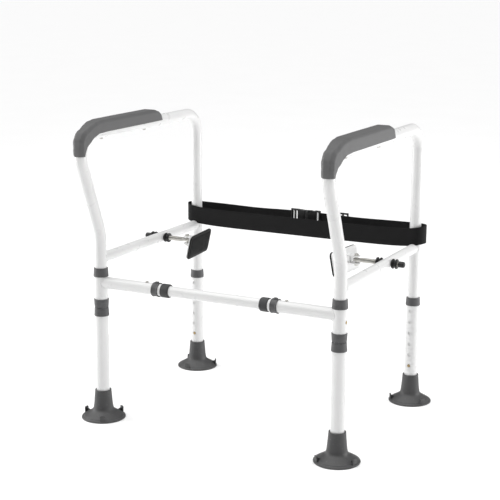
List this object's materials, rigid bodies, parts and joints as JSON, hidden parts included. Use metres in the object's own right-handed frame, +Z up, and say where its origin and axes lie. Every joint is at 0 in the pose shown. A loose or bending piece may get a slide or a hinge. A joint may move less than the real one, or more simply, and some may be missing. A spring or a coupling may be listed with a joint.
{
  "type": "toilet safety frame",
  "caption": "Free-standing toilet safety frame: bent arm rails with moulded grips, telescopic legs on suction feet, telescopic front crossbar, bowl clamps and a rear strap.",
  "frame": {"origin": "on the floor, at the centre of the frame's footprint box", "axes": "+X to the right of someone facing the frame's front, +Y to the rear, towards the cistern, +Z up"},
  "size_m": [0.647, 0.5436, 0.65],
  "materials": {
    "white_paint": "glossy white powder coat on steel",
    "cap_plastic": "moulded, fine matt, dark grey",
    "grip_plastic": "soft-touch moulded, matt mid grey",
    "foot_rubber": "smooth moulded grey rubber",
    "black_plastic": "moulded, satin black",
    "pad_rubber": "matt black rubber sheet",
    "strap_webbing": "woven black webbing",
    "snap_brass": "plated, slightly dull",
    "plated_steel": "bright zinc plate"
  },
  "bodies": {
    "crossbar": {"crossbar_tube": "white_paint", "strap": "strap_webbing", "buckle_socket": "black_plastic", "buckle_tongue": "black_plastic", "strap_slider": "black_plastic"},
    "left_side": {"left_arm_tube": "white_paint", "left_side_bar": "white_paint", "left_grip": "grip_plastic", "left_grip_screw_front": "plated_steel", "left_grip_screw_rear": "plated_steel", "left_tee": "white_paint", "left_tee_upper_cap": "cap_plastic", "left_tee_lower_cap": "cap_plastic", "left_ring_collar": "cap_plastic"},
    "left_tee_button": {"left_tee_button": "snap_brass"},
    "left_pull_pin": {"left_pull_pin": "plated_steel"},
    "left_lock_nut": {"left_lock_nut": "cap_plastic"},
    "left_front_leg": {"left_front_leg_tube": "white_paint", "left_front_leg_cap": "cap_plastic", "left_front_foot": "foot_rubber"},
    "left_front_leg_button": {"left_front_leg_button": "snap_brass"},
    "left_rear_leg": {"left_rear_leg_tube": "white_paint", "left_rear_leg_cap": "cap_plastic", "left_rear_foot": "foot_rubber"},
    "left_rear_leg_button": {"left_rear_leg_button": "snap_brass"},
    "left_clamp_rod": {"left_clamp_rod": "plated_steel", "left_rod_cap": "black_plastic", "left_pivot_bolt": "plated_steel"},
    "left_clamp_pad": {"left_clamp_plate": "white_paint", "left_clamp_pad": "pad_rubber"},
    "left_outer_hand_nut": {"left_outer_hand_nut": "black_plastic"},
    "left_inner_hand_nut": {"left_inner_hand_nut": "black_plastic"},
    "right_side": {"right_arm_tube": "white_paint", "right_side_bar": "white_paint", "right_grip": "grip_plastic", "right_grip_screw_front": "plated_steel", "right_grip_screw_rear": "plated_steel", "right_tee": "white_paint", "right_tee_upper_cap": "cap_plastic", "right_tee_lower_cap": "cap_plastic", "right_ring_collar": "cap_plastic"},
    "right_tee_button": {"right_tee_button": "snap_brass"},
    "right_pull_pin": {"right_pull_pin": "plated_steel"},
    "right_lock_nut": {"right_lock_nut": "cap_plastic"},
    "right_front_leg": {"right_front_leg_tube": "white_paint", "right_front_leg_cap": "cap_plastic", "right_front_foot": "foot_rubber"},
    "right_front_leg_button": {"right_front_leg_button": "snap_brass"},
    "right_rear_leg": {"right_rear_leg_tube": "white_paint", "right_rear_leg_cap": "cap_plastic", "right_rear_foot": "foot_rubber"},
    "right_rear_leg_button": {"right_rear_leg_button": "snap_brass"},
    "right_clamp_rod": {"right_clamp_rod": "plated_steel", "right_rod_cap": "black_plastic", "right_pivot_bolt": "plated_steel"},
    "right_clamp_pad": {"right_clamp_plate": "white_paint", "right_clamp_pad": "pad_rubber"},
    "right_outer_hand_nut": {"right_outer_hand_nut": "black_plastic"},
    "right_inner_hand_nut": {"right_inner_hand_nut": "black_plastic"}
  },
  "joints": [
    {"name": "left_width", "type": "slide", "parent": "crossbar", "child": "left_side", "axis": [-1, 0, 0], "range_m": [-0.0254, 0.0508], "deforming": ["strap", "left_pull_pin"]},
    {"name": "left_tee_button_press", "type": "slide", "parent": "left_side", "child": "left_tee_button", "axis": [1, 0, 0], "range_m": [0, 0.004], "stiffness_N_per_m": 800},
    {"name": "left_pin_pull", "type": "slide", "parent": "left_side", "child": "left_pull_pin", "axis": [0, 0, 1], "range_m": [0, 0.005], "stiffness_N_per_m": 800},
    {"name": "left_lock_nut_turn", "type": "hinge", "parent": "left_side", "child": "left_lock_nut", "pos_m": [-0.1145, -0.19175, 0.302], "axis": [1, 0, 0], "range_deg": [-90, 90]},
    {"name": "left_front_leg_height", "type": "slide", "parent": "left_side", "child": "left_front_leg", "axis": [0, 0, -1], "range_m": [0, 0.127], "deforming": ["left_front_leg_button"]},
    {"name": "left_front_button_press", "type": "slide", "parent": "left_side", "child": "left_front_leg_button", "axis": [0, -1, 0], "range_m": [0, 0.004], "stiffness_N_per_m": 800},
    {"name": "left_rear_leg_height", "type": "slide", "parent": "left_side", "child": "left_rear_leg", "axis": [0, 0, -1], "range_m": [0, 0.127], "deforming": ["left_rear_leg_button"]},
    {"name": "left_rear_button_press", "type": "slide", "parent": "left_side", "child": "left_rear_leg_button", "axis": [0, 1, 0], "range_m": [0, 0.004], "stiffness_N_per_m": 800},
    {"name": "left_clamp_reach", "type": "slide", "parent": "left_side", "child": "left_clamp_rod", "axis": [-1, 0, 0], "range_m": [-0.002, 0.03]},
    {"name": "left_pad_swivel", "type": "hinge", "parent": "left_clamp_rod", "child": "left_clamp_pad", "pos_m": [-0.2066, 0.05625, 0.354], "axis": [0, 0, 1], "range_deg": [-25, 25]},
    {"name": "left_outer_nut_turn", "type": "hinge", "parent": "left_side", "child": "left_outer_hand_nut", "pos_m": [-0.2934, 0.05625, 0.354], "axis": [1, 0, 0], "continuous": true},
    {"name": "left_inner_nut_turn", "type": "hinge", "parent": "left_side", "child": "left_inner_hand_nut", "pos_m": [-0.2586, 0.05625, 0.354], "axis": [1, 0, 0], "continuous": true},
    {"name": "right_width", "type": "slide", "parent": "crossbar", "child": "right_side", "axis": [1, 0, 0], "range_m": [-0.0254, 0.0508], "deforming": ["strap", "right_pull_pin"]},
    {"name": "right_tee_button_press", "type": "slide", "parent": "right_side", "child": "right_tee_button", "axis": [-1, 0, 0], "range_m": [0, 0.004], "stiffness_N_per_m": 800},
    {"name": "right_pin_pull", "type": "slide", "parent": "right_side", "child": "right_pull_pin", "axis": [0, 0, 1], "range_m": [0, 0.005], "stiffness_N_per_m": 800},
    {"name": "right_lock_nut_turn", "type": "hinge", "parent": "right_side", "child": "right_lock_nut", "pos_m": [0.1145, -0.19175, 0.302], "axis": [1, 0, 0], "range_deg": [-90, 90]},
    {"name": "right_front_leg_height", "type": "slide", "parent": "right_side", "child": "right_front_leg", "axis": [0, 0, -1], "range_m": [0, 0.127], "deforming": ["right_front_leg_button"]},
    {"name": "right_front_button_press", "type": "slide", "parent": "right_side", "child": "right_front_leg_button", "axis": [0, -1, 0], "range_m": [0, 0.004], "stiffness_N_per_m": 800},
    {"name": "right_rear_leg_height", "type": "slide", "parent": "right_side", "child": "right_rear_leg", "axis": [0, 0, -1], "range_m": [0, 0.127], "deforming": ["right_rear_leg_button"]},
    {"name": "right_rear_button_press", "type": "slide", "parent": "right_side", "child": "right_rear_leg_button", "axis": [0, 1, 0], "range_m": [0, 0.004], "stiffness_N_per_m": 800},
    {"name": "right_clamp_reach", "type": "slide", "parent": "right_side", "child": "right_clamp_rod", "axis": [1, 0, 0], "range_m": [-0.002, 0.03]},
    {"name": "right_pad_swivel", "type": "hinge", "parent": "right_clamp_rod", "child": "right_clamp_pad", "pos_m": [0.2066, 0.05625, 0.354], "axis": [0, 0, 1], "range_deg": [-25, 25]},
    {"name": "right_outer_nut_turn", "type": "hinge", "parent": "right_side", "child": "right_outer_hand_nut", "pos_m": [0.2934, 0.05625, 0.354], "axis": [1, 0, 0], "continuous": true},
    {"name": "right_inner_nut_turn", "type": "hinge", "parent": "right_side", "child": "right_inner_hand_nut", "pos_m": [0.2586, 0.05625, 0.354], "axis": [1, 0, 0], "continuous": true}
  ],
  "couplings": [
    {"joint": "left_outer_nut_turn", "follows": "left_clamp_reach", "rad_per_m": -4188.8},
    {"joint": "left_inner_nut_turn", "follows": "left_clamp_reach", "rad_per_m": -4188.8},
    {"joint": "right_outer_nut_turn", "follows": "right_clamp_reach", "rad_per_m": 4188.8},
    {"joint": "right_inner_nut_turn", "follows": "right_clamp_reach", "rad_per_m": 4188.8}
  ]
}
